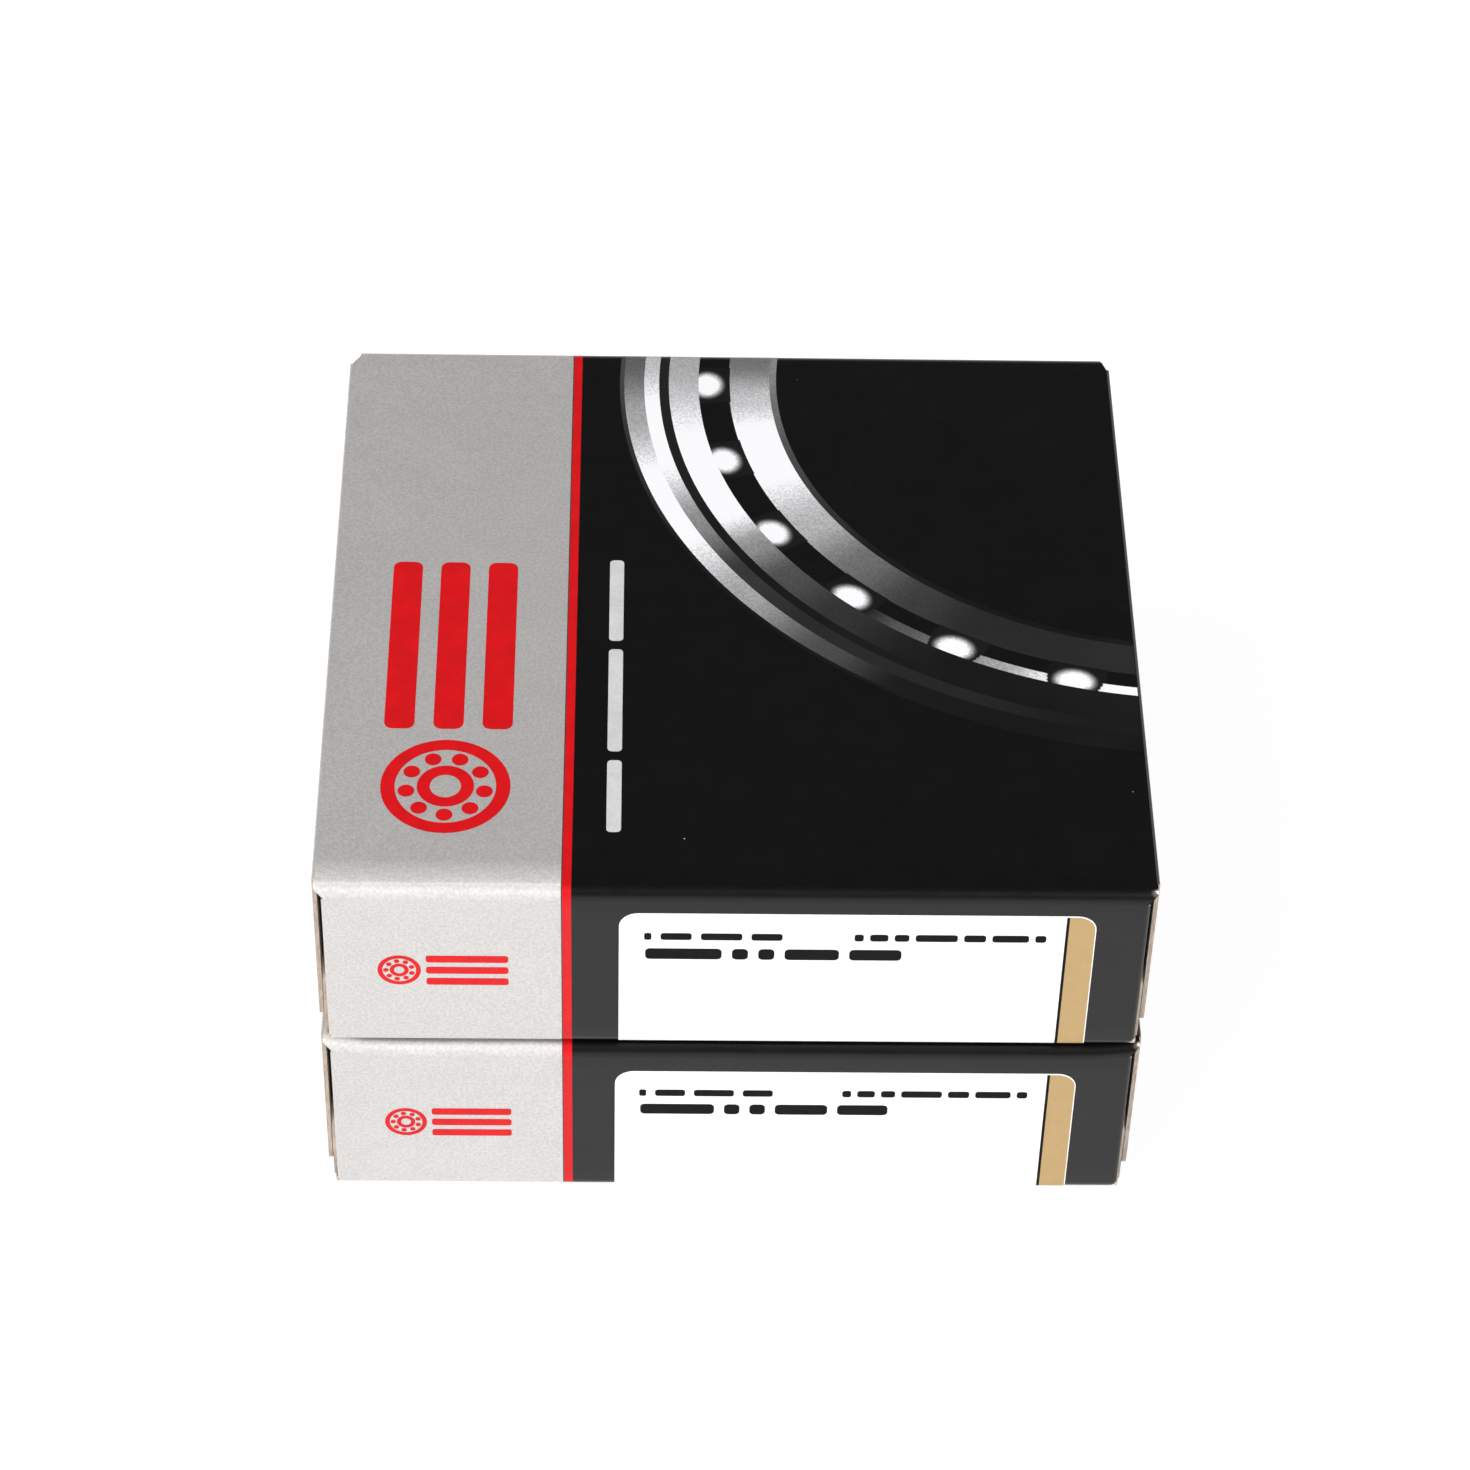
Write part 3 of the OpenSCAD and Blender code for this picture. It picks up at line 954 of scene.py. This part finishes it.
def make_label(carton, materials):
    """The white label with its gold band, and lines of print as plain bars."""
    low, high = box_mm(f"{carton.name}_label")
    left, right = low.x, high.x
    foot, top = LABEL_FOOT, high.z - carton.base
    place = on_front(carton)
    fold_rows = [FOLD_RADIUS - LABEL_ROW_GAP * i for i in range(LABEL_ROWS)]
    sheet = rounded_box(left, foot, right, top, (0, 0, LABEL_CORNER, LABEL_CORNER))
    piece = lay_print(
        f"{carton.name}_label_sheet", [(sheet, 0)], place, LABEL_LIFT, [materials["label"]], skirt=True,
        rows=fold_rows,
    )
    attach(piece, carton.body)
    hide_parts(f"{carton.name}_label")

    gold_right, gold_left = (right - d for d in GOLD_FROM_RIGHT)
    gold_top = top - GOLD_BELOW_TOP
    gold = rounded_box(gold_left, foot, gold_right, gold_top, (0, 0, GOLD_CORNER, 0))
    line = rounded_box(gold_left - GOLD_LINE, foot, gold_left, gold_top, (0, 0, 0, 0))
    piece = lay_print(
        f"{carton.name}_label_band", [(gold, 0), (line, 1)], place, LABEL_PRINT_LIFT,
        [materials["label_gold"], materials["label_black"]], rows=fold_rows,
    )
    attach(piece, carton.body)

    bars = []
    for (line_foot, line_top), (start, end), shares, gap in LABEL_LINES:
        bars += words(left + start, left + end, top - line_foot, top - line_top, shares, gap)
    shapes = [(bar, 0) for bar in bars]
    piece = lay_print(
        f"{carton.name}_label_print", shapes, place, LABEL_PRINT_LIFT, [materials["label_black"]]
    )
    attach(piece, carton.body)


# -------------------- printed drawing of a bearing

# The drawing is a quarter of a bearing seen a little from one side, so its rings are ellipses. A band is
# (outside radius, inside radius, shades), and the shades are (angle, grey) with a smooth fade between them
DRAWING_CENTRE = Vector((43.73, 32.06))
DRAWING_SQUEEZE = Matrix(((1.037, 0.009), (0.009, 0.966)))
DRAWING_ANGLES = (174, 275)
BANDS = [
    (52.50, 52.09, ((178, 0.28), (190, 0.21), (200, 0.18), (209, 0.12), (218, 0.10))),
    (52.09, 50.24, ((177, 0.38), (186, 0.65), (196, 1.0), (206, 1.0), (217, 0.64), (229, 0.30), (238, 0.13),
                    (246, 0.10), (262, 0.11))),
    (50.24, 48.85, ((177, 0.75), (184, 1.0), (194, 1.0), (205, 0.54), (214, 0.23), (226, 0.18), (244, 0.17),
                    (260, 0.13))),
    (48.85, 47.95, ((178, 0.15), (199, 0.14), (209, 0.09))),
    (47.95, 45.18, ((177, 0.67), (191, 1.0), (205, 1.0), (211, 0.56), (217, 0.32), (226, 0.21), (237, 0.13),
                    (248, 0.10))),
    (42.37, 38.58, ((176, 0.45), (184, 0.78), (190, 1.0), (200, 1.0), (211, 0.71), (221, 0.43), (231, 0.25),
                    (240, 0.18), (262, 0.19))),
    (38.58, 37.95, ((177, 0.53), (187, 0.42), (199, 0.29), (211, 0.20), (222, 0.12), (232, 0.10))),
]
# The track between the rings, and the bright rail along its outside
TRACK = (45.18, 42.37)
RAIL_INSIDE = 44.10
RAIL_START = 226
RAIL_SHADES = ((226, 0.12), (233, 0.34), (240, 0.50), (246, 0.66), (251, 0.92), (254, 1.0))
BALL_SPACING = 14.7
FIRST_BALL = 180.8
BALL_COUNT = 6
# The drawn ball's middle inside the track's outside edge, its half length round the track, its half width
# towards the outside and the inside, how far out it is drawn as a share of these, and its darkest grey
BALL_MIDDLE = 0.7
BALL_HALF_LENGTH = 2.4
BALL_HALF_OUT, BALL_HALF_IN = 1.6, 2.05
BALL_REACH = 1.03
BALL_SHADOW = 0.08
# Half the angle of the patch it is drawn on, how far that runs inside the track, and its grid
BALL_PATCH, BALL_PATCH_INSIDE = 3.5, 0.1
BALL_ROWS, BALL_COLUMNS = 26, 42
TRACK_GREY = 0.1
# Greys become the share of white by this power, less what the black ink itself has
TONE_POWER, TONE_OFFSET = 2.2, 0.010
# The drawing ends this far short of the right end's crease, and after this many steps down the rear fold
DRAWING_END_GAP = 0.15
DRAWING_FOLD_STEPS = 5


def fade(stops, angle):
    """Grey at an angle, faded smoothly between the stops."""
    if angle <= stops[0][0]:
        return stops[0][1]
    for (a, first), (b, second) in zip(stops, stops[1:]):
        if angle <= b:
            return first + (second - first) * smoothstep(a, b, angle)
    return stops[-1][1]


def polar_patch(bm, tone, radii, angles, lift, shade):
    """A sector as a grid of quads, with a tone at each corner from its radius and angle."""
    rows = []
    for r in radii:
        row = []
        for a in angles:
            turn = math.radians(a)
            point = DRAWING_CENTRE + DRAWING_SQUEEZE @ Vector((r * math.cos(turn), r * math.sin(turn)))
            vert = bm.verts.new((*point, lift))
            vert[tone] = max(0.0, shade(r, a) ** TONE_POWER - TONE_OFFSET)
            row.append(vert)
        rows.append(row)
    for first, second in zip(rows, rows[1:]):
        for k in range(len(first) - 1):
            bm.faces.new((first[k], first[k + 1], second[k + 1], second[k]))


def track_shade(r, a):
    """Grey of the track between the rings, with its rail."""
    return fade(RAIL_SHADES, a) if r >= RAIL_INSIDE and a > RAIL_START else TRACK_GREY


def ball_shade(angle):
    """Light on a drawn ball: bright against the track's outside, soft towards its inside."""
    middle = TRACK[0] - BALL_MIDDLE

    def shade(r, a):
        along = math.radians(a - angle) * r / BALL_HALF_LENGTH
        inward = (r - middle) / (BALL_HALF_OUT if r > middle else BALL_HALF_IN)
        distance = math.hypot(along, inward)
        if distance > BALL_REACH:
            return track_shade(r, a)
        return BALL_SHADOW + (1 - BALL_SHADOW) * smoothstep(1.0, 0.5, distance)

    return shade


def spread(first, last, count):
    """Even places from first to last."""
    return [first + (last - first) * i / count for i in range(count + 1)]


def make_drawing(carton, materials):
    """A quarter of a bearing, drawn in greys on the black half of the top panel."""
    bm = bmesh.new()
    tone = bm.verts.layers.float.new("tone")
    first, last = DRAWING_ANGLES
    for outside, inside, stops in BANDS:
        angles = spread(first, last, last - first)
        radii = spread(inside, outside, 2)
        polar_patch(bm, tone, radii, angles, DRAWING_LIFT, lambda r, a, s=stops: fade(s, a))
    angles = spread(RAIL_START, last, last - RAIL_START)
    polar_patch(bm, tone, spread(RAIL_INSIDE, TRACK[0], 2), angles, DRAWING_LIFT, track_shade)
    for i in range(BALL_COUNT):
        angle = FIRST_BALL + i * BALL_SPACING
        radii = spread(TRACK[1] - BALL_PATCH_INSIDE, TRACK[0], BALL_ROWS)
        angles = spread(angle - BALL_PATCH, angle + BALL_PATCH, BALL_COLUMNS)
        polar_patch(bm, tone, radii, angles, BALL_LIFT, ball_shade(angle))
    fold = carton.half_depth - SKIN - FOLD_RADIUS
    turns = [math.radians(90 * i / FOLD_STEPS) for i in range(DRAWING_FOLD_STEPS + 1)]
    fold_rows = [fold + FOLD_RADIUS * math.sin(turn) for turn in turns]
    cut_at(bm, 1, fold_rows)
    trim_beyond(bm, 0, carton.top_end - DRAWING_END_GAP)
    trim_beyond(bm, 1, fold_rows[-1])
    face_out(bm)
    place = on_top(carton)
    for v in bm.verts:
        x, y, lift = v.co
        if y > fold:
            turn = math.asin((y - fold) / FOLD_RADIUS)
            v.co = place(x, y, lift / math.cos(turn))
            v.co.z -= FOLD_RADIUS * (1 - math.cos(turn)) * MM
        else:
            v.co = place(x, y, lift)
    piece = finish_mesh(bm, f"{carton.name}_drawing", [materials["drawing"]])
    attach(piece, carton.body)


# -------------------- end flaps

OUTER_CORNER, INNER_CORNER = 1.0, 2.5
# A crease is half a round of this many steps, and the print runs on over the first of them
CREASE_STEPS, PRINTED_CREASE_STEPS = 10, 7
# Extra lines along which a flap is divided near its crease, and its even grid
CREASE_ROWS = (0.25, 0.7)
FLAP_GRID = 4.0
# How worn the top and floor panels' creases, the front and rear panels' creases and the free edges are
TOP_CRACK, WALL_CRACK, FREE_EDGE_WEAR = 0.32, 0.25, 0.25
FLAP_WEAR_REACH = 0.25


def flap_outline(half, length, corner, cut):
    """End flap from its crease at b = 0 to its free edge, with the crease cut short at the rear."""
    outline = rounded_box(-half, 0, half, length, (0, 0, corner, corner))
    outline[1:2] = [(half - cut, 0), (half, 1.5 * cut)]
    return outline


def dust_outline(height, reach):
    """Mitred dust flap from its crease at b = 0."""
    return [(0, 0), (height, 0), (height - reach, reach), (reach, reach)]


def make_flap(node, outline, axes, board, crack, materials, print_slot):
    """A flap of board with a rounded crease. The axes are the crease's point and the directions along it, to
    the free edge, and out of the printed face. Crack is how worn the crease is."""
    origin, along, reach, face = axes
    half = board / 2
    bm = bmesh.new()
    wear = bm.verts.layers.float.new("wear")
    printed = [bm.verts.new((a, b, half)) for a, b in outline]
    hidden = [bm.verts.new((a, b, -half)) for a, b in outline]
    bm.faces.new(printed).material_index = print_slot
    bm.faces.new(list(reversed(hidden))).material_index = INSIDE_SLOT
    count = len(outline)
    for i in range(1, count):
        j = (i + 1) % count
        bm.faces.new((printed[i], hidden[i], hidden[j], printed[j])).material_index = EDGE_SLOT
    rows = []
    for end, k in ((outline[0][0], 0), (outline[1][0], 1)):
        row = [printed[k]]
        for i in range(1, CREASE_STEPS):
            turn = math.pi * i / CREASE_STEPS
            row.append(bm.verts.new((end, -half * math.sin(turn), half * math.cos(turn))))
        rows.append(row + [hidden[k]])
    for i in range(CREASE_STEPS):
        quad = (rows[0][i], rows[0][i + 1], rows[1][i + 1], rows[1][i])
        bm.faces.new(quad).material_index = print_slot if i < PRINTED_CREASE_STEPS else INSIDE_SLOT
    for row in rows:
        bm.faces.new(row).material_index = EDGE_SLOT
    bmesh.ops.recalc_face_normals(bm, faces=bm.faces[:])
    cut_at(bm, 1, CREASE_ROWS)
    cut_at(bm, 0, grid_lines(bm, 0, FLAP_GRID))
    free = max(b for _, b in outline)
    for v in bm.verts:
        a, b, n = v.co
        near = math.exp(-max(b, 0.0) / FLAP_WEAR_REACH)
        tip = math.exp(-(free - b) / FLAP_WEAR_REACH)
        v[wear] = crack * near + FREE_EDGE_WEAR * tip if n > -0.9 * half else 0.0
        v.co = (origin + along * a + reach * b + face * n) * MM
    slots = [materials[key] for key in SLEEVE_SLOTS]
    if face.dot(along.cross(reach)) < 0:
        bmesh.ops.reverse_faces(bm, faces=bm.faces[:])
    piece = finish_mesh(bm, f"{node}_board", slots)
    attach(piece, node)
    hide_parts(node)


def make_flaps(carton, materials):
    """The four flaps at each end, placed by their CAD nodes."""
    half = carton.board / 2
    up, back = Vector((0, 0, 1)), Vector((0, 1, 0))
    for end, side in (("right", 1), ("left", -1)):
        out = Vector((side, 0, 0))
        print_slot = BLACK_SLOT if side > 0 else SILVER_SLOT
        cut = REAR_CREASE_CUT[end]
        outer, inner = f"{carton.name}_{end}_outer_flap", f"{carton.name}_{end}_inner_flap"
        low, high = box_mm(outer)
        axis = Vector((side * carton.top_end, 0, high.z - half))
        axes = (axis, back, -up, out)
        make_flap(
            outer, flap_outline(high.y, axis.z - low.z, OUTER_CORNER, cut), axes, carton.board, TOP_CRACK,
            materials, print_slot,
        )
        low, high = box_mm(inner)
        axis = Vector((side * carton.floor_end, 0, low.z + half))
        axes = (axis, back, up, out)
        make_flap(
            inner, flap_outline(high.y, high.z - axis.z, INNER_CORNER, cut), axes, carton.board, TOP_CRACK,
            materials, print_slot,
        )
        for depth, edge in (("front", -1), ("rear", 1)):
            node = f"{carton.name}_{end}_{depth}_dust_flap"
            low, high = box_mm(node)
            crease_y = low.y + half if edge < 0 else high.y - half
            reach = (high.y - crease_y) if edge < 0 else (crease_y - low.y)
            axis = Vector((side * carton.wall_end, crease_y, low.z))
            axes = (axis, up, -edge * back, out)
            outline = dust_outline(high.z - low.z, reach)
            make_flap(node, outline, axes, carton.board, WALL_CRACK, materials, print_slot)


# -------------------- bearing


def dress_bearing(carton, materials):
    """Gives the CAD's bearing pieces their finishes."""
    for part, key in (("outer_ring", "steel"), ("inner_ring", "steel"), ("cage", "cage"), ("balls", "ball")):
        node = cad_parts[f"{carton.name}_{part}"]
        node.data.materials.clear()
        node.data.materials.append(materials[key])


# -------------------- build

make_camera()
make_world()
make_softbox("left", -1)
make_softbox("right", 1)
make_floor()
materials = make_materials()
for carton_name in ("lower", "upper"):
    carton = carton_facts(carton_name)
    make_board(carton, materials)
    make_mark(carton, materials)
    make_caption(carton, materials)
    make_drawing(carton, materials)
    make_label(carton, materials)
    make_flaps(carton, materials)
    dress_bearing(carton, materials)
bpy.context.scene.view_settings.view_transform = "Standard"
